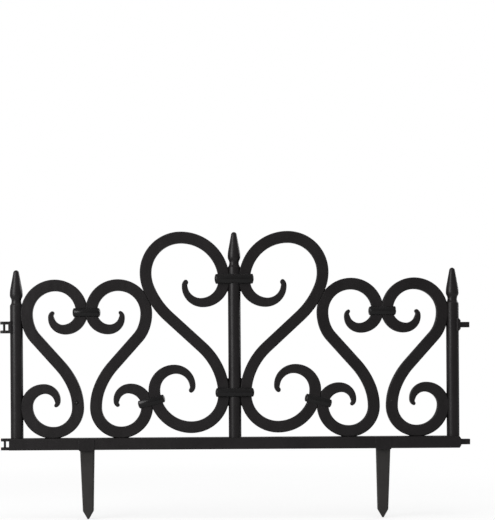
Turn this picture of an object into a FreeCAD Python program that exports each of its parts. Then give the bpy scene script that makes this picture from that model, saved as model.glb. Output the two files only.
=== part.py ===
import FreeCAD, Part
import math
import os

# Garden edging fence panel, one whole bay.
# Frame: origin at the centre of the bottom rail's underside, which is ground level.
# +X runs along the panel towards the hook end, +Z is up and the front faces -Y.
# All sizes are in millimetres.

V = FreeCAD.Vector
UP = V(0, 0, 1)
DOWN = V(0, 0, -1)
RIGHT = V(1, 0, 0)

# Bay
PITCH = 600.0            # link pin to link hook: the bays repeat at this distance
LINK_REACH = 16.0        # link axis to the axis of the end post beside it
POST_X = 0.5 * PITCH - LINK_REACH

# Posts
POST_D = 16.5
END_POST_TOP = 234.4
MID_POST_TOP = 282.4

# Finials, measured down from the tip
FINIAL_HIGH = 46.0       # where the finial meets the plain post
TIP_R = 3.8              # ball at the tip
HIP_DOWN = 24.0          # where the straight taper ends and the belly begins
HIP_IN = 0.7             # how much slimmer the hip is than the belly
BELLY_R = 8.3
BELLY_DOWN = 32.4
COLLAR_R = 6.75
COLLAR_DOWN = 37.2
NECK_R = 6.2
NECK_DOWN = 40.3
FLARE_R = 6.85
FLARE_DOWN = 43.6

# Bottom rail
RAIL_HIGH = 15.3
RAIL_EDGE = 1.2          # rounding along the rail
RAIL_DEEP = POST_D + 2 * RAIL_EDGE
RAIL_PAST = 1.0          # how far the rail runs past the end posts
RAIL_END = POST_X + 0.5 * POST_D + RAIL_PAST
RAIL_SLANT_X = 2.2       # slanted corners of the rail at the hook end
RAIL_SLANT_Z = 3.6

# Scroll bars
BAR_W = 15.0
BAR_T = 10.0
BAR_EDGE = 1.0           # bevel round the front and back faces
SMALL_TIP_W = 4.6        # width at the tips of the small curls
SMALL_TAPER = 2.4        # the higher, the later a curl narrows
LARGE_TIP_W = 6.3
LARGE_TAPER = 1.55
TAPER_STEP = 30.0        # degrees of turn between the points a curl is drawn through

# Hearts. Each bar is drawn as arcs (radius, turn) of its centreline, from the outermost
# point of a loop to the tip of its curl. The arcs suit a panel whose end posts stand
# this far from the centre post, and keep their shape when the posts move.
DRAWN_POST_X = 284.0
SCALE = POST_X / DRAWN_POST_X
SMALL_TOP = ((37.0, 90), (34.7, 90), (22.9, 90), (17.2, 90), (5.6, 55))
SMALL_LOW = ((32.5, 90), (34.1, 90), (23.0, 90), (17.2, 90), (5.6, 55))
LARGE_TOP = ((45.8, 90), (56.1, 90), (28.8, 90), (22.4, 90), (6.3, 45))
LARGE_LOW = ((42.1, 90), (48.4, 90), (27.2, 90), (22.8, 90), (6.5, 48))
SMALL_BENDS = (53.1, 40.5, 95.9, 70.4)      # radii down the slanted run between the loops
LARGE_BENDS = (52.1, 104.6, 87.9, 81.0)
BEND_TURN = 22.0         # outer bend of each slanted run, where it leaves its loop
SMALL_TOP_Z = 177.2      # height of the outermost point of the upper loops
LARGE_TOP_Z = 229.8
SMALL_MEET = 1.3         # how far the two upper loops of a small heart run into each other
SMALL_GAP = 8.4          # between the two lower loops of a small heart
LARGE_RISE = 5.7         # between the rail and the large lower loops
POST_SINK = 2.25         # how far the small upper loops run into the end posts
LARGE_TOP_SINK = 2.35    # how far the large upper loops run into the centre post
LARGE_LOW_SINK = 1.45    # how far the large lower loops run into it
RAIL_SINK = 0.5          # how far the small lower loops run into the rail
SMALL_REACH = (SMALL_TOP[0][0] + SMALL_TOP[1][0]) * SCALE + 0.5 * BAR_W - SMALL_MEET
LARGE_REACH = (LARGE_TOP[0][0] + LARGE_TOP[1][0]) * SCALE + 0.5 * (BAR_W + POST_D) - LARGE_TOP_SINK
HEART_X = POST_X - 0.5 * POST_D + POST_SINK - 0.5 * BAR_W - SMALL_REACH

# Bands: height of the middle, width past the bars held, and height
BAND_WALL = 2.2          # how far a band stands proud of the bars it holds
CENTRE_WALL = 1.5        # how far a band stands proud of the centre post
BAND_CROWN = 1.6         # how far its faces bulge
BAND_CORNER = 3.0
BAND_WEB_W = 12.0        # web that fills the notch above and below a band
BAND_WEB_PAST = 3.0
HEART_BAND_Z = 178.7
HEART_BAND_PAST = 4.05
HEART_BAND_W = 2 * (BAR_W - SMALL_MEET + HEART_BAND_PAST)
HEART_BAND_H = 11.2
UPPER_BAND_Z = 221.4
UPPER_BAND_PAST = 4.6
UPPER_BAND_W = 2 * (0.5 * POST_D + BAR_W - LARGE_TOP_SINK + UPPER_BAND_PAST)
UPPER_BAND_H = 12.0
LOWER_BAND_Z = 73.5
LOWER_BAND_PAST = 3.45
LOWER_BAND_W = 2 * (0.5 * POST_D + BAR_W - LARGE_LOW_SINK + LOWER_BAND_PAST)
LOWER_BAND_H = 11.2
LINK_BAND_X = 108.6
LINK_BAND_Z = 62.3
LINK_BAND_W = 35.4
LINK_BAND_H = 10.3
LINK_BAND_TILT = 14.4

# Webs between the posts and the loops
WEB_T = 3.0
END_WEB_REACH = 14.0     # from the axis of an end post
END_WEBS = ((160.0, 187.0), (39.0, 71.0))
CENTRE_WEB_REACH = 17.0
CENTRE_WEBS = ((205.0, 235.0), (56.0, 92.0))
RAIL_WEB_W = 20.0
RAIL_WEB_H = 1.2

# Links
PIN_R = 1.55
PIN_CLEAR = 0.1
EYE_WINDOW = 7.8         # height between the two arms of an eye
ARM_T = 0.5 * (RAIL_HIGH - EYE_WINDOW)
ARM_R = 4.0
ARM_PAST = 1.2           # the round ends of the arms are centred this far past the link axis
LINK_Z = 159.9
PAD_HIGH = 16.0
PAD_WIDE = 6.5
PAD_PROUD = 1.4          # beyond the post's flank
PAD_FRONT = 0.8          # in front of the post
PAD_SLANT = 2.4
HOOK_HIGH = 7.0
HOOK_R = 4.5
HOOK_PAST = 1.7
HOOK_MOUTH = 2.6

# Stakes
STAKE_LENGTH = 90.0      # rail underside to stake tip
STAKE_TOP_W = 18.5
STAKE_IN = 1.5           # slant of the inner edge
STAKE_OUT = 3.2          # slant of the outer edge
STAKE_POINT = 10.4
STAKE_BLUNT = 1.5        # cut off the sharp point
STAKE_T = 9.0
STAKE_BEVEL = 1.6
SOCKET_W = 20.5
SOCKET_PROUD = 0.6       # in front of and behind the rail
SOCKET_LIP = 1.3         # below the rail
SOCKET_DOWN = 1.5        # below the rail's top face
TENON_W = 11.0
TENON_T = 6.0
TENON_HIGH = 10.0
TENON_CLEAR = 0.2

ALL_DEEP = 2 * RAIL_DEEP    # deeper than any piece, for trimming


def box(x0, x1, y0, y1, z0, z1):
    return Part.makeBox(x1 - x0, y1 - y0, z1 - z0, V(x0, y0, z0))


def prism_y(points, y0, y1):
    """Extrude a closed XZ outline of straight edges from y0 to y1."""
    ring = [V(x, y0, z) for x, z in points]
    ring.append(ring[0])
    return Part.Face(Part.makePolygon(ring)).extrude(V(0, y1 - y0, 0))


def prism_z(points, z0, z1):
    """Extrude a closed XY outline of straight edges from z0 to z1."""
    ring = [V(x, y, z0) for x, y in points]
    ring.append(ring[0])
    return Part.Face(Part.makePolygon(ring)).extrude(V(0, 0, z1 - z0))


def mirror_x(shape):
    return shape.mirror(V(0, 0, 0), RIGHT)


def moved(shape, x):
    out = shape.copy()
    out.translate(V(x, 0, 0))
    return out


def largest(shape):
    """The largest solid of a trimmed shape, without the slivers that trimming leaves."""
    return max(shape.Solids, key=lambda solid: solid.Volume)


def face_rims(prism):
    """The edges round the front and back faces of a solid extruded along Y."""
    rims = []
    for e in prism.Edges:
        ys = [v.Point.y for v in e.Vertexes]
        if max(ys) - min(ys) < 0.01:
            rims.append(e)
    return rims


# Arcs that join smoothly

def tangent_arc(a, b, t):
    """The arc from a to b that leaves a along the unit vector t."""
    chord = b - a
    along = chord * (1.0 / chord.Length)
    across = t - along * t.dot(along)
    if across.Length < 1e-6:
        return Part.makeLine(a, b)
    lean = math.atan2(across.Length, t.dot(along))
    rise = 0.5 * chord.Length * math.tan(0.5 * lean)
    mid = (a + b) * 0.5 + across * (rise / across.Length)
    return Part.Arc(a, mid, b).toShape()


def biarc(a, ta, b, tb):
    """Two arcs joined smoothly, from a along ta to b along tb."""
    v = b - a
    t = ta + tb
    bend = 2.0 * (1.0 - ta.dot(tb))
    if bend < 1e-9:
        return [Part.makeLine(a, b)]
    d = (-v.dot(t) + math.sqrt(v.dot(t) ** 2 + bend * v.dot(v))) / bend
    joint = (a + ta * d + b - tb * d) * 0.5
    back = tangent_arc(b, joint, tb * -1.0)
    return [tangent_arc(a, joint, ta), back]


# Scrolls

def heading_vec(deg):
    return V(math.cos(math.radians(deg)), 0, math.sin(math.radians(deg)))


def left_of(deg):
    return heading_vec(deg + 90.0)


def walk(segments, start, heading):
    """Follow arcs (radius, turn) and straights (length, 0) and return their frames."""
    frames = []
    p = start
    for size, turn in segments:
        frame = (p, heading, size, turn)
        frames.append(frame)
        p = on_segment(frame, 1.0, 0.0)
        heading += turn
    return frames


def on_segment(frame, u, offset):
    """Point a fraction u along a segment, moved to the left by offset."""
    p, heading, size, turn = frame
    if turn == 0:
        return p + heading_vec(heading) * (u * size) + left_of(heading) * offset
    side = math.copysign(size, turn)
    centre = p + left_of(heading) * side
    return centre - left_of(heading + u * turn) * (side - offset)


def seg_length(frame):
    size, turn = frame[2], frame[3]
    return size if turn == 0 else size * math.radians(abs(turn))


def edge_of(frame, offset):
    a = on_segment(frame, 0.0, offset)
    b = on_segment(frame, 1.0, offset)
    if frame[3] == 0:
        return Part.makeLine(a, b)
    return Part.Arc(a, on_segment(frame, 0.5, offset), b).toShape()


def taper_edges(frames, tip_w, power):
    """Both edges of a curl that narrows along its frames, with its round tip."""
    total = sum(seg_length(f) for f in frames)
    drop = BAR_W - tip_w
    stations = []
    done = 0.0
    for f in frames:
        n = max(1, int(round(abs(f[3]) / TAPER_STEP)))
        for i in range(n):
            u = float(i) / n
            stations.append((f, u, (done + u * seg_length(f)) / total))
        done += seg_length(f)
    stations.append((frames[-1], 1.0, 1.0))
    sides = []
    for sign in (1.0, -1.0):
        points = []
        for f, u, s in stations:
            heading, size, turn = f[1], f[2], f[3]
            half = 0.5 * (BAR_W - drop * s ** power)
            slope = -0.5 * drop * power * s ** (power - 1) / total
            curve = math.copysign(1.0 / size, turn)
            lean = math.atan2(sign * slope, 1.0 - sign * curve * half)
            way = heading_vec(heading + u * turn + math.degrees(lean))
            points.append((on_segment(f, u, sign * half), way))
        sides.append(points)
    edges = []
    for points in sides:
        for (a, ta), (b, tb) in zip(points[:-1], points[1:]):
            edges += biarc(a, ta, b, tb)
    left, right = sides[0][-1], sides[1][-1]
    edges += biarc(left[0], left[1], right[0], right[1] * -1.0)
    return edges


def run_segments(start, end, bends):
    """The slanted run between the loops: two bends, a straight and two bends."""
    outer_top, inner_top, inner_low, outer_low = bends
    leave = -90.0 + BEND_TURN
    a = walk([(outer_top, BEND_TURN)], start, -90.0)[0]
    b = walk([(outer_low, -BEND_TURN)], end, 90.0)[0]
    top_centre = on_segment(a, 1.0, inner_top)
    low_end = end + left_of(-90.0) * -outer_low
    low_end = low_end - left_of(leave) * -outer_low
    low_centre = low_end - left_of(leave) * inner_low
    apart = low_centre - top_centre
    reach = inner_top + inner_low
    straight = math.sqrt(apart.Length ** 2 - reach ** 2)
    way = math.degrees(math.atan2(apart.z, apart.x) + math.atan2(reach, straight))
    swing = way - leave
    return [(outer_top, BEND_TURN), (inner_top, swing), (straight, 0),
            (inner_low, -swing), (outer_low, -BEND_TURN)]


def scroll(top, bends, low, start, end, taper, full=2):
    """An S-shaped bar: curl, loop, slanted run, loop, curl.

    start is the centreline's leftmost point of the upper loop and end its
    rightmost point of the lower loop. top and low list the arcs (radius, turn)
    from there to the tips: the first ones keep the full width, the rest narrow.
    taper is the width at the tips and how late the curls narrow.
    """
    middle = walk(run_segments(start, end, bends), start, -90.0)
    top_frames = walk([(r, -t) for r, t in top], start, 90.0)
    low_frames = walk([(r, -t) for r, t in low], end, -90.0)
    half = 0.5 * BAR_W
    edges = taper_edges(low_frames[full:], *taper) + taper_edges(top_frames[full:], *taper)
    for f in middle + low_frames[:full] + top_frames[:full]:
        edges.append(edge_of(f, half))
        edges.append(edge_of(f, -half))
    wire = Part.Wire(Part.__sortEdges__(edges))
    bar = Part.Face(wire).extrude(V(0, BAR_T, 0))
    bar.translate(V(0, -0.5 * BAR_T, 0))
    return bar


def drawn(arcs):
    """Arcs (radius, turn) at the hearts' scale."""
    return [(radius * SCALE, turn) for radius, turn in arcs]


def bevelled(bar):
    return bar.makeChamfer(BAR_EDGE, face_rims(bar))


def small_scroll():
    """Left scroll of a small heart, placed from the heart's axis."""
    low = drawn(SMALL_LOW)
    end_z = RAIL_HIGH - RAIL_SINK + 0.5 * BAR_W + low[0][0]
    return scroll(
        top=drawn(SMALL_TOP),
        bends=[r * SCALE for r in SMALL_BENDS],
        low=low,
        start=V(-SMALL_REACH, 0, SMALL_TOP_Z * SCALE),
        end=V(-0.5 * (SMALL_GAP + BAR_W), 0, end_z),
        taper=(SMALL_TIP_W, SMALL_TAPER),
    )


def large_scroll():
    """Left scroll of the centre heart, placed from the centre post."""
    low = drawn(LARGE_LOW)
    end_z = RAIL_HIGH + LARGE_RISE + 0.5 * BAR_W + low[0][0]
    return scroll(
        top=drawn(LARGE_TOP),
        bends=[r * SCALE for r in LARGE_BENDS],
        low=low,
        start=V(-LARGE_REACH, 0, LARGE_TOP_Z * SCALE),
        end=V(-0.5 * (POST_D + BAR_W) + LARGE_LOW_SINK, 0, end_z),
        taper=(LARGE_TIP_W, LARGE_TAPER),
    )


# Posts

def finial(top):
    """Edges of the turned profile, from the plain post's shoulder to the tip."""

    def at(radius, down):
        return V(radius, 0, top - down)

    hip = at(BELLY_R - HIP_IN, HIP_DOWN)
    belly = at(BELLY_R, BELLY_DOWN)
    collar = at(COLLAR_R, COLLAR_DOWN)
    flare = at(FLARE_R, FLARE_DOWN)
    # The taper is tangent to the ball at the tip.
    far = math.hypot(hip.x, HIP_DOWN - TIP_R)
    taper = math.atan2(hip.x, HIP_DOWN - TIP_R) - math.asin(TIP_R / far)
    ball = [math.radians(90) * 0.5 + taper * 0.5, taper]
    crown, cheek = [at(TIP_R * math.cos(a), TIP_R * (1 - math.sin(a))) for a in ball]
    neck = Part.Arc(flare, at(NECK_R, NECK_DOWN), collar).toShape()
    leave = neck.tangentAt(neck.FirstParameter) * -1.0
    down_taper = V(math.sin(taper), 0, -math.cos(taper))
    return [
        tangent_arc(flare, at(0.5 * POST_D, FINIAL_HIGH), leave),
        neck,
        tangent_arc(belly, collar, DOWN),
        tangent_arc(hip, belly, down_taper),
        Part.makeLine(cheek, hip),
        Part.Arc(cheek, crown, at(0, 0)).toShape(),
    ]


def post(x, top):
    """A round post with a turned finial, standing on the rail's top face."""
    r = 0.5 * POST_D
    foot = V(0, 0, RAIL_HIGH)
    edges = finial(top)
    edges.append(Part.makeLine(V(r, 0, RAIL_HIGH), V(r, 0, top - FINIAL_HIGH)))
    edges.append(Part.makeLine(foot, V(r, 0, RAIL_HIGH)))
    edges.append(Part.makeLine(V(0, 0, top), foot))
    face = Part.Face(Part.Wire(Part.__sortEdges__(edges)))
    return moved(face.revolve(V(0, 0, 0), UP, 360), x)


def web(x0, x1, z0, z1):
    return box(x0, x1, -0.5 * WEB_T, 0.5 * WEB_T, z0, z1)


def end_webs(side):
    inner = side * (POST_X - END_WEB_REACH)
    x0, x1 = sorted((side * POST_X, inner))
    return [web(x0, x1, z0 * SCALE, z1 * SCALE) for z0, z1 in END_WEBS]


def centre_webs():
    reach = CENTRE_WEB_REACH
    return [web(-reach, reach, z0 * SCALE, z1 * SCALE) for z0, z1 in CENTRE_WEBS]


# Bands

def band(x, z, wide, high, deep, tilt=0):
    """A collar with bulging front, back and ends, centred on (x, z), and its web."""
    w = 0.5 * wide
    h = 0.5 * high
    d = 0.5 * deep
    line = Part.makeLine

    def bulged(half, axis_of):
        flat = half - BAND_CROWN
        a = axis_of(-flat, -h)
        b = axis_of(flat, -h)
        c = axis_of(flat, h)
        e = axis_of(-flat, h)
        ring = [line(a, b), Part.Arc(b, axis_of(half, 0), c).toShape()]
        ring += [line(c, e), Part.Arc(e, axis_of(-half, 0), a).toShape()]
        return Part.Face(Part.Wire(ring))

    along = bulged(d, lambda u, v: V(-wide, u, v)).extrude(V(2 * wide, 0, 0))
    across = bulged(w, lambda u, v: V(u, -deep, v)).extrude(V(0, 2 * deep, 0))
    plan = box(-w, w, -d, d, -high, high)
    uprights = [e for e in plan.Edges if abs(e.Vertexes[0].Z - e.Vertexes[-1].Z) > 1]
    plan = plan.makeFillet(BAND_CORNER, uprights)
    solid = along.common(across).common(plan)
    notch = h + BAND_WEB_PAST
    solid = solid.fuse(web(-0.5 * BAND_WEB_W, 0.5 * BAND_WEB_W, -notch, notch))
    solid.rotate(V(0, 0, 0), V(0, -1, 0), tilt)
    solid.translate(V(x, 0, z))
    return solid


# Rail with its stake sockets

def socket_boss():
    w = 0.5 * SOCKET_W
    d = 0.5 * RAIL_DEEP + SOCKET_PROUD
    lip = SOCKET_LIP
    high = RAIL_HIGH - SOCKET_DOWN
    outline = [(-w, 0), (-w + lip, -lip), (w - lip, -lip), (w, 0), (w, high), (-w, high)]
    return prism_y(outline, -d, d)


def socket_cut():
    w = 0.5 * TENON_W + TENON_CLEAR
    d = 0.5 * TENON_T + TENON_CLEAR
    top = -SOCKET_LIP + TENON_HIGH + TENON_CLEAR
    return box(-w, w, -d, d, -2 * SOCKET_LIP, top)


def bottom_rail():
    x, h = RAIL_END, RAIL_HIGH
    dx, dz = RAIL_SLANT_X, RAIL_SLANT_Z
    outline = [(-x, 0), (x - dx, 0), (x, dz), (x, h - dz), (x - dx, h), (-x, h)]
    rail = prism_y(outline, -0.5 * RAIL_DEEP, 0.5 * RAIL_DEEP)
    rims = [e for e in face_rims(rail) if e.Length > POST_X]
    rail = rail.makeFillet(RAIL_EDGE, rims)
    for heart in (-HEART_X, HEART_X):
        rail = rail.fuse(moved(socket_boss(), heart))
    for heart in (-HEART_X, HEART_X):
        rail = rail.cut(moved(socket_cut(), heart))
    return rail


# Links

def pad(side, z0, z1):
    """A block saddled on an end post's outer flank, with slanted corners."""
    x1 = POST_X + 0.5 * POST_D + PAD_PROUD
    x0 = x1 - PAD_WIDE
    d = 0.5 * POST_D + PAD_FRONT
    s = PAD_SLANT
    elevation = [(x0, z0), (x1 - s, z0), (x1, z0 + s), (x1, z1 - s), (x1 - s, z1), (x0, z1)]
    plan = [(x0, s - d), (x0 + s, -d), (x1 - s, -d), (x1, s - d)]
    plan += [(x1, d - s), (x1 - s, d), (x0 + s, d), (x0, d - s)]
    block = prism_y(elevation, -d, d).common(prism_z(plan, z0, z1))
    return mirror_x(block) if side < 0 else block


def arm(x_in, end_r, past, z0, z1):
    """A flat arm from x_in out to a round end, centred past the link axis."""
    x = 0.5 * PITCH + past
    bar = box(x_in, x, -end_r, end_r, z0, z1)
    end = Part.makeCylinder(end_r, z1 - z0, V(x, 0, z0), UP)
    return bar.fuse(end).removeSplitter()


def eye(x_in, z):
    """Two arms with a captive pin between them, at the left end."""
    z0 = z - 0.5 * EYE_WINDOW - ARM_T
    z1 = z + 0.5 * EYE_WINDOW + ARM_T
    low = arm(x_in, ARM_R, ARM_PAST, z0, z0 + ARM_T)
    high = arm(x_in, ARM_R, ARM_PAST, z1 - ARM_T, z1)
    pin = Part.makeCylinder(PIN_R, z1 - z0, V(0.5 * PITCH, 0, z0), UP)
    return mirror_x(low.fuse([high, pin]))


def hook(x_in, z):
    """A C-shaped arm end, open outwards, that grips the next bay's pin."""
    z0 = z - 0.5 * HOOK_HIGH
    z1 = z + 0.5 * HOOK_HIGH
    x = 0.5 * PITCH
    mouth = 0.5 * HOOK_MOUTH
    shape = arm(x_in, HOOK_R, HOOK_PAST, z0, z1)
    seat = Part.makeCylinder(PIN_R + PIN_CLEAR, 2 * HOOK_HIGH, V(x, 0, z - HOOK_HIGH), UP)
    way_in = box(x, x + 2 * HOOK_R, -mouth, mouth, z - HOOK_HIGH, z + HOOK_HIGH)
    return shape.cut(seat).cut(way_in)


# Stakes

def stake():
    """Right-hand stake at x = 0: the outer edge slants more than the inner."""
    w = 0.5 * STAKE_TOP_W
    top = -SOCKET_LIP
    knee = -STAKE_LENGTH + STAKE_POINT
    apex = -STAKE_LENGTH - STAKE_BLUNT
    lean = 0.5 * (STAKE_IN - STAKE_OUT)
    outline = [(-w, top), (w, top), (w - STAKE_OUT, knee), (lean, apex), (-w + STAKE_IN, knee)]
    blade = prism_y(outline, -0.5 * STAKE_T, 0.5 * STAKE_T)
    rims = [e for e in face_rims(blade) if min(v.Z for v in e.Vertexes) < top - 1]
    blade = blade.makeChamfer(STAKE_BEVEL, rims)
    blade = blade.cut(box(-w, w, -STAKE_T, STAKE_T, 2 * apex, -STAKE_LENGTH))
    half_w = 0.5 * TENON_W
    half_t = 0.5 * TENON_T
    tenon = box(-half_w, half_w, -half_t, half_t, top, top + TENON_HIGH)
    return blade.fuse(tenon)


# Scrolls, trimmed where they meet
large = large_scroll()
both_large = large.fuse(mirror_x(large))
heart_side = box(0, PITCH, -ALL_DEEP, ALL_DEEP, 0, PITCH)
small = bevelled(small_scroll()).cut(heart_side)
pair = {"left": small, "right": mirror_x(small)}
bars = {}
bars["centre_heart_left_scroll"] = bevelled(large)
bars["centre_heart_right_scroll"] = mirror_x(bars["centre_heart_left_scroll"])
for heart, x in (("left", -HEART_X), ("right", HEART_X)):
    for side in ("left", "right"):
        bars[heart + "_heart_" + side + "_scroll"] = moved(pair[side], x).cut(both_large)

# Posts and rail
cores = {
    "left_post": post(-POST_X, END_POST_TOP),
    "centre_post": post(0, MID_POST_TOP),
    "right_post": post(POST_X, END_POST_TOP),
}
all_posts = cores["left_post"].fuse([cores["centre_post"], cores["right_post"]])
rail = bottom_rail()
raw_bars = list(bars.values())
held = all_posts.fuse(raw_bars)
for name in bars:
    bars[name] = bars[name].cut(all_posts).cut(rail)

# Bands round the bars and posts
heart_band = (HEART_BAND_Z * SCALE, HEART_BAND_W, HEART_BAND_H, BAR_T + 2 * BAND_WALL)
upper_band = (UPPER_BAND_Z * SCALE, UPPER_BAND_W, UPPER_BAND_H, POST_D + 2 * CENTRE_WALL)
lower_band = (LOWER_BAND_Z * SCALE, LOWER_BAND_W, LOWER_BAND_H, POST_D + 2 * CENTRE_WALL)
link_band = (LINK_BAND_Z * SCALE, LINK_BAND_W, LINK_BAND_H, BAR_T + 2 * BAND_WALL)
link_x = LINK_BAND_X * SCALE
bands = {
    "left_heart_band": band(-HEART_X, *heart_band),
    "right_heart_band": band(HEART_X, *heart_band),
    "centre_upper_band": band(0, *upper_band),
    "centre_lower_band": band(0, *lower_band),
    "left_link_band": band(-link_x, *link_band, tilt=LINK_BAND_TILT),
    "right_link_band": band(link_x, *link_band, tilt=-LINK_BAND_TILT),
}
for name in bands:
    bands[name] = largest(bands[name].cut(held))

# Webs, each part of the post or rail that carries it
webs = {
    "left_post": end_webs(-1),
    "centre_post": centre_webs(),
    "right_post": end_webs(1),
}
in_way = held.fuse(list(bands.values()))
nodes = {}
loop_x = 0.5 * (SMALL_GAP + BAR_W) + SMALL_LOW[0][0] * SCALE
rail_webs = []
for heart in (-HEART_X, HEART_X):
    for x in (heart - loop_x, heart + loop_x):
        reach = 0.5 * RAIL_WEB_W
        strip = web(x - reach, x + reach, RAIL_HIGH - RAIL_EDGE, RAIL_HIGH + RAIL_WEB_H)
        rail_webs.append(strip.cut(held))
nodes["bottom_rail"] = rail.fuse(rail_webs)
for name in cores:
    pieces = []
    for w in webs[name]:
        pieces += w.cut(in_way).Solids
    nodes[name] = cores[name].fuse(pieces)
nodes.update(bars)
nodes.update(bands)

# Links and stakes
flank = POST_X + 0.5 * POST_D
pad_z = (LINK_Z - 0.5 * PAD_HIGH, LINK_Z + 0.5 * PAD_HIGH)
left_pad = pad(-1, *pad_z).cut(all_posts)
right_pad = pad(1, *pad_z).cut(all_posts)
nodes["upper_link_eye"] = left_pad.fuse(eye(flank + 0.5 * PAD_PROUD, LINK_Z))
nodes["upper_link_hook"] = right_pad.fuse(hook(flank + 0.5 * PAD_PROUD, LINK_Z))
nodes["lower_link_eye"] = eye(RAIL_END, 0.5 * RAIL_HIGH)
nodes["lower_link_hook"] = hook(RAIL_END, 0.5 * RAIL_HIGH)
nodes["right_stake"] = moved(stake(), HEART_X)
nodes["left_stake"] = mirror_x(nodes["right_stake"])

os.makedirs("parts", exist_ok=True)
for name in nodes:
    shape = nodes[name].removeSplitter()
    if len(shape.Solids) == 1:
        shape = shape.Solids[0]
    shape.exportStep("parts/" + name + ".step")
    b = shape.BoundBox
    size = [round(v, 1) for v in (b.XMin, b.XMax, b.YMin, b.YMax, b.ZMin, b.ZMax)]
    print(name, len(shape.Solids), shape.isValid(), round(shape.Volume), size)
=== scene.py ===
import math

import bmesh
import bpy
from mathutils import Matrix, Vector


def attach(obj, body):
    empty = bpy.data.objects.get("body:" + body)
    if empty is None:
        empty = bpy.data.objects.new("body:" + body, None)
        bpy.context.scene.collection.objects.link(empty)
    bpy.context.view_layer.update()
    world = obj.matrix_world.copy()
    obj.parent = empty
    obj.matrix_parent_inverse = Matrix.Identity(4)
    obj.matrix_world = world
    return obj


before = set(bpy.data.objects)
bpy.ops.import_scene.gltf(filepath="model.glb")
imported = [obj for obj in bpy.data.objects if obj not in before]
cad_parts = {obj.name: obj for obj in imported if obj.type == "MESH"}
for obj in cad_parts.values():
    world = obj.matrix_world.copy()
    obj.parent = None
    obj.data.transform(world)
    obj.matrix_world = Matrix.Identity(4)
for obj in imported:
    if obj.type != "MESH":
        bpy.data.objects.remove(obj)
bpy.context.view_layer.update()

# Garden edging fence panel in black moulded plastic. Metres; +X along the panel
# towards the hook end, +Z up, the front faces -Y.

MM = 0.001

# Photograph
IMAGE_W = 495
IMAGE_H = 520
M_PER_PX = 1.3029 * MM        # at the panel's mid plane
ORIGIN_PX = (235.2, 448.8)    # the frame's origin, the middle of the rail's underside
LEAN = math.radians(0.36)     # the right end stands this much higher in the picture
CAMERA_AWAY = 1.8
CAMERA_HIGH = 0.110
SENSOR_MM = 36.0

# Stage
FLOOR_Z = -0.0905             # just under the stake tips
FLOOR_HALF = 6.0
LIGHTS_AIM = (0.0, 0.0, 0.1)
WORLD_LEVEL = 0.34            # as light; the camera sees it at WHITE_LEVEL
WHITE_LEVEL = 1.0
WHITE = (1, 1, 1, 1)

# Moulded skin: noise scales, then relief heights and lengths in mm
BLOTCH_SCALE = 28.0
WAVE_SCALE = 45.0
STREAK_SCALE = 160.0
STREAK_STRETCH = (1.0, 1.0, 0.22)
GRAIN_SCALE = 2600.0
WAVE_HIGH = 0.30
STREAK_HIGH = 0.011
GRAIN_HIGH = 0.005
SEAM_HIGH = 0.16
SEAM_EDGES = (0.22, 0.06)     # from the middle plane: where the seam starts, and is full
# Painted shade in the corners between pieces: how far it reaches, its tone, and the roughness
# added there.
NOOK_REACH = 9.0
NOOK_SHADE_TONE = (0.002, 0.002, 0.002, 1)
NOOK_ROUGH = 0.35
PLASTIC_IOR = 1.49
PLASTIC_SPECULAR = 0.28

# Tones of the plastic: darker blotches, lighter blotches, and a lighter tone on the edges that
# is a painted highlight
BLACK = ((0.0096, 0.0082, 0.0086, 1), (0.0132, 0.0115, 0.0120, 1), (0.026, 0.024, 0.0245, 1))
STAKE = ((0.0265, 0.0248, 0.0236, 1), (0.0330, 0.0310, 0.0298, 1), (0.044, 0.042, 0.041, 1))
# Band: the face is painted darker as shade, and the edge tone is a strong painted highlight.
BAND_SHADE_AND_HIGHLIGHT = ((0.0052, 0.0048, 0.0050, 1), (0.0078, 0.0072, 0.0074, 1), (0.095, 0.090, 0.092, 1))
# Near black: painted shade standing in for the sunk ring of the gate.
GATE_SHADE_TONES = ((0.0012, 0.0010, 0.0010, 1), (0.0020, 0.0018, 0.0018, 1), (0.004, 0.004, 0.004, 1))

# Marks of the moulding, in mm. A profile is (radius, height) points.
TURNS = 40
FRONT = -5.0
BACK = 5.0
HEART_X = 192.6
# Where the plastic was let in, on the front: a cut-off stub, a ring painted near black as the
# shade of a sunk recess, and a low rim on the left heart, and a smaller stub alone on the right
# heart.
GATE = (-205.6, 61.3)
FAR_GATE = (203.6, 61.8)
STUB = [(0.0, 0.95), (0.45, 0.90), (0.90, 0.70), (1.20, 0.34), (1.25, -0.10)]
SHADE_RING = [(0.9, 0.05), (3.0, 0.05), (3.1, -0.10)]
RIM = [(2.85, -0.10), (2.90, 0.14), (3.05, 0.24), (3.25, 0.20), (3.40, 0.08), (3.45, -0.10)]
SMALL_STUB = [(0.0, 0.62), (0.35, 0.58), (0.70, 0.40), (0.95, 0.12), (1.00, -0.10)]
# Where a pin pushed the panel out of the mould, on the back: a faint raised disc with a rim.
PIN_MARK = [(0.0, 0.05), (1.9, 0.05), (2.2, 0.14), (2.4, 0.14), (2.55, 0.06), (2.6, -0.10)]
# Centres of the bars at the outermost points of their loops: offset from the heart, height.
SMALL_PINS = ((-77.9, 177.2), (-40.9, 214.2), (-11.7, 54.8), (-44.2, 22.3))
LARGE_PINS = ((-115.3, 229.8), (-69.5, 275.6), (-14.3, 70.6), (-56.4, 28.5))


# Shader helpers

def new_material(name):
    mat = bpy.data.materials.new(name)
    mat.use_nodes = True
    mat.node_tree.nodes.clear()
    return mat, mat.node_tree


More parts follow.
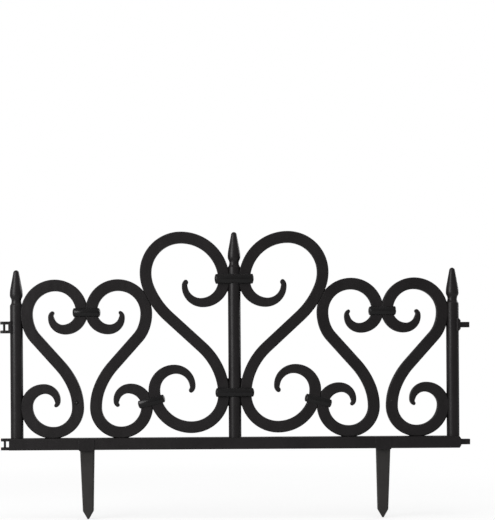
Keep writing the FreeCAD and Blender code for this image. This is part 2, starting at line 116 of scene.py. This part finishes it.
class Graph:
    """Adds nodes to a tree; an input is given as a number, a colour or a socket."""

    def __init__(self, tree):
        self.tree = tree

    def add(self, kind, inputs=None, **settings):
        node = self.tree.nodes.new(kind)
        for key, value in settings.items():
            setattr(node, key, value)
        for key, value in (inputs or {}).items():
            self.give(node.inputs[key], value)
        return node

    def give(self, socket, value):
        if isinstance(value, bpy.types.NodeSocket):
            self.tree.links.new(value, socket)
        else:
            socket.default_value = value

    def math(self, operation, a, b=0.0):
        return self.add("ShaderNodeMath", {0: a, 1: b}, operation=operation).outputs[0]

    def fit(self, value, low, high, to_low=0.0, to_high=1.0):
        inputs = {"Value": value, "From Min": low, "From Max": high}
        inputs.update({"To Min": to_low, "To Max": to_high})
        node = self.add("ShaderNodeMapRange", inputs, interpolation_type="SMOOTHSTEP")
        return node.outputs[0]

    def noise(self, where, scale, detail=2.0, rough=0.5):
        inputs = {"Vector": where, "Scale": scale, "Detail": detail, "Roughness": rough}
        return self.add("ShaderNodeTexNoise", inputs).outputs[0]

    def mix(self, share, a, b):
        node = self.add("ShaderNodeMix", data_type="RGBA")
        self.give(node.inputs[0], share)
        self.give(node.inputs[6], a)
        self.give(node.inputs[7], b)
        return node.outputs[2]

    def seen(self):
        """1 where the camera sees a surface, straight or through something clear."""
        ray = self.add("ShaderNodeLightPath").outputs
        return self.math("MAXIMUM", ray["Is Camera Ray"], ray["Is Transmission Ray"])

    def finish(self, shader, kind="ShaderNodeOutputMaterial"):
        self.tree.links.new(shader.outputs[0], self.add(kind).inputs["Surface"])


# Materials

def black_plastic(name, tones, rough_low=0.30, rough_high=0.38, edge_round=0.7, crown=None):
    """Satin black polypropylene with a moulded skin, faint flow marks and soft edges, the edges
    painted lighter as a highlight and the corners between pieces painted darker as shade.
    """
    mat, tree = new_material(name)
    g = Graph(tree)
    dark, light, edge_highlight_tone = tones
    where = g.add("ShaderNodeTexCoord").outputs["Object"]
    y = g.add("ShaderNodeSeparateXYZ", {0: where}).outputs[1]

    soft = g.add("ShaderNodeBevel", {"Radius": edge_round * MM}, samples=6).outputs[0]
    plain = g.add("ShaderNodeNewGeometry").outputs["Normal"]
    facing = g.add("ShaderNodeVectorMath", {0: soft, 1: plain}, operation="DOT_PRODUCT")
    edge = g.fit(facing.outputs["Value"], 0.995, 0.90)

    blotch = g.noise(where, BLOTCH_SCALE, 3.0, 0.6)
    streak_at = g.add("ShaderNodeMapping", {0: where, 3: STREAK_STRETCH}).outputs[0]
    streak = g.noise(streak_at, STREAK_SCALE, 3.0, 0.6)
    grain = g.noise(where, GRAIN_SCALE, 2.0, 0.6)

    body = g.mix(g.fit(blotch, 0.3, 0.7), dark, light)
    # Painted highlight: the rounded edges are painted lighter, in streaks.
    edge_highlight = g.math("MULTIPLY", edge, g.fit(streak, 0.35, 0.65, 0.15, 0.6))
    colour = g.mix(edge_highlight, body, edge_highlight_tone)

    # Corners between the pieces are painted darker as shade, by ambient occlusion, and made
    # duller.
    reach = {"Distance": NOOK_REACH * MM}
    open_to = g.add("ShaderNodeAmbientOcclusion", reach, samples=6).outputs["AO"]
    nook = g.fit(open_to, 0.15, 0.70)
    colour = g.mix(nook, NOOK_SHADE_TONE, colour)

    rough = g.fit(streak, 0.25, 0.75, rough_low, rough_high)
    rough = g.math("ADD", rough, g.fit(grain, 0.3, 0.7, -0.03, 0.03))
    rough = g.math("ADD", rough, g.fit(nook, 0.0, 1.0, NOOK_ROUGH, 0.0))

    # The seam where the two halves of the mould meet runs round every edge at y = 0.
    seam = g.fit(g.math("ABSOLUTE", y), SEAM_EDGES[0] * MM, SEAM_EDGES[1] * MM)
    wave = g.noise(where, WAVE_SCALE)
    height = g.math("MULTIPLY", seam, SEAM_HIGH)
    for relief, high in ((wave, WAVE_HIGH), (streak, STREAK_HIGH), (grain, GRAIN_HIGH)):
        height = g.math("ADD", height, g.math("MULTIPLY", relief, high))
    if crown:
        height = g.math("SUBTRACT", height, crowned(g, *crown))
    inputs = {"Strength": 1.0, "Distance": MM, "Height": height, "Normal": soft}
    bump = g.add("ShaderNodeBump", inputs).outputs[0]

    shader = g.add("ShaderNodeBsdfPrincipled")
    g.give(shader.inputs["Base Color"], colour)
    g.give(shader.inputs["Roughness"], rough)
    g.give(shader.inputs["Normal"], bump)
    shader.inputs["IOR"].default_value = PLASTIC_IOR
    shader.inputs["Specular IOR Level"].default_value = PLASTIC_SPECULAR
    g.finish(shader)
    return mat


def crowned(g, along, up):
    """How far a band's faces fall away towards its ends and its long edges, in mm."""
    place = g.add("ShaderNodeTexCoord").outputs["Generated"]
    parts = g.add("ShaderNodeSeparateXYZ", {0: place}).outputs
    fall = []
    for part, amount in ((parts[0], along), (parts[2], up)):
        off = g.math("SUBTRACT", part, 0.5)
        fall.append(g.math("MULTIPLY", g.math("MULTIPLY", off, off), amount))
    return g.math("ADD", *fall)


def floor_material():
    """Pale floor: white to the camera where nothing shades it, and it keeps the shadow."""
    mat, tree = new_material("pale_floor")
    g = Graph(tree)
    where = g.add("ShaderNodeTexCoord").outputs["Object"]
    tone = g.fit(g.noise(where, 3.0), 0.3, 0.7)
    colour = g.mix(tone, (0.80, 0.80, 0.80, 1), (0.82, 0.82, 0.82, 1))
    away = g.add("ShaderNodeVectorMath", {0: where}, operation="LENGTH").outputs["Value"]
    seen = g.seen()
    matt = g.add("ShaderNodeBsdfDiffuse", {"Color": g.mix(seen, (0.50, 0.50, 0.50, 1), colour)})
    glow = g.add("ShaderNodeEmission", {"Color": WHITE, "Strength": WHITE_LEVEL})
    share = g.math("MULTIPLY", seen, g.fit(away, 0.35, 1.1, 0.74, 1.0))
    mixed = g.add("ShaderNodeMixShader", {0: share, 1: matt.outputs[0], 2: glow.outputs[0]})
    g.finish(mixed)
    return mat


def dress(obj, mat):
    obj.data.materials.clear()
    obj.data.materials.append(mat)


def show(obj):
    bpy.context.scene.collection.objects.link(obj)


# Marks of the moulding

def turned(name, profile, place, way, mat):
    """A small turned piece that stands towards way along Y, its place in mm."""
    points = []
    faces = []
    for k in range(TURNS):
        a = 2 * math.pi * k / TURNS
        for r, h in profile:
            points.append((r * math.cos(a) * MM, way * h * MM, r * math.sin(a) * MM))
    n = len(profile)
    for k in range(TURNS):
        for i in range(n - 1):
            a, b = k * n + i, (k + 1) % TURNS * n + i
            faces.append((a, a + 1, b + 1, b))
    mesh = bpy.data.meshes.new(name)
    mesh.from_pydata(points, [], faces)
    work = bmesh.new()
    work.from_mesh(mesh)
    bmesh.ops.remove_doubles(work, verts=work.verts, dist=1e-7)
    bmesh.ops.recalc_face_normals(work, faces=work.faces)
    work.to_mesh(mesh)
    work.free()
    mesh.shade_smooth()
    piece = bpy.data.objects.new(name, mesh)
    piece.location = [v * MM for v in place]
    show(piece)
    dress(piece, mat)
    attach(piece, "root")


def gate_marks():
    x, z = GATE
    turned("gate_stub", STUB, (x, FRONT, z), -1, stake_skin)
    # The ring is painted near black, as the shade of a sunk recess.
    turned("gate_ring", SHADE_RING, (x, FRONT, z), -1, gate_shade_skin)
    turned("gate_rim", RIM, (x, FRONT, z), -1, skin)
    x, z = FAR_GATE
    turned("far_gate_stub", SMALL_STUB, (x, FRONT, z), -1, stake_skin)


def pin_marks():
    places = [(side * x, z) for x, z in LARGE_PINS for side in (1, -1)]
    for heart in (-HEART_X, HEART_X):
        places += [(heart + side * x, z) for x, z in SMALL_PINS for side in (1, -1)]
    for k, (x, z) in enumerate(places):
        turned("pin_mark_%02d" % k, PIN_MARK, (x, BACK, z), 1, skin)


# Stage

def make_floor():
    corners = [(-1, -1), (1, -1), (1, 1), (-1, 1)]
    mesh = bpy.data.meshes.new("floor")
    points = [(x * FLOOR_HALF, y * FLOOR_HALF, FLOOR_Z) for x, y in corners]
    mesh.from_pydata(points, [], [(0, 1, 2, 3)])
    floor = bpy.data.objects.new("floor", mesh)
    show(floor)
    dress(floor, floor_material())


def make_world():
    world = bpy.data.worlds.new("studio")
    world.use_nodes = True
    world.node_tree.nodes.clear()
    g = Graph(world.node_tree)
    level = g.fit(g.seen(), 0.0, 1.0, WORLD_LEVEL, WHITE_LEVEL)
    back = g.add("ShaderNodeBackground", {"Color": WHITE, "Strength": level})
    g.finish(back, "ShaderNodeOutputWorld")
    bpy.context.scene.world = world


def area_light(name, place, wide, high, watts):
    data = bpy.data.lights.new(name, "AREA")
    data.shape = "RECTANGLE"
    data.size = wide
    data.size_y = high
    data.energy = watts
    lamp = bpy.data.objects.new(name, data)
    lamp.location = place
    way = Vector(LIGHTS_AIM) - Vector(place)
    lamp.rotation_euler = way.to_track_quat("-Z", "Y").to_euler()
    show(lamp)
    return lamp


def make_lights():
    area_light("key", (-1.15, -1.07, 0.62), 0.8, 1.1, 16.0)
    top = area_light("top", (-0.1, -0.25, 1.5), 1.6, 1.0, 18.0)
    top.visible_glossy = False    # a soft fill that leaves no glare on the upper edges
    area_light("back", (1.15, 1.1, 0.7), 1.2, 0.9, 12.0)


def make_camera():
    """Square on to the panel, with the photograph's framing and slight lean."""
    data = bpy.data.cameras.new("camera")
    data.sensor_fit = "AUTO"
    data.sensor_width = SENSOR_MM
    frame_high = IMAGE_H * M_PER_PX
    data.lens = SENSOR_MM * CAMERA_AWAY / frame_high
    left = LEAN * CAMERA_HIGH / M_PER_PX
    down = CAMERA_HIGH / M_PER_PX
    data.shift_x = (0.5 * IMAGE_W - ORIGIN_PX[0] + left) / IMAGE_H
    data.shift_y = (ORIGIN_PX[1] - 0.5 * IMAGE_H - down) / IMAGE_H
    data.clip_start = 0.05
    data.clip_end = 50.0
    camera = bpy.data.objects.new("camera", data)
    camera.location = (0.0, -CAMERA_AWAY, CAMERA_HIGH)
    camera.rotation_euler = (math.radians(90), LEAN, 0.0)
    show(camera)
    bpy.context.scene.camera = camera


# Assembly

skin = black_plastic("black_plastic", BLACK)
post_skin = black_plastic("post_plastic", BLACK, 0.32, 0.40, edge_round=0.35)
stake_skin = black_plastic("stake_plastic", STAKE)
# The bands' faces are painted darker as shade and their edges lighter as a painted highlight.
band_skin = black_plastic(
    "band_plastic", BAND_SHADE_AND_HIGHLIGHT, 0.20, 0.26, edge_round=1.0, crown=(10.0, 5.0))
# Near black and rough: painted shade for the gate's sunk ring.
gate_shade_skin = black_plastic("gate_shade_plastic", GATE_SHADE_TONES, 0.70, 0.85)
SKINS = {"stake": stake_skin, "band": band_skin, "post": post_skin}
for name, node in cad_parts.items():
    dress(node, SKINS.get(name.split("_")[-1], skin))
gate_marks()
pin_marks()

make_floor()
make_world()
make_lights()
make_camera()
bpy.context.scene.view_settings.view_transform = "Standard"
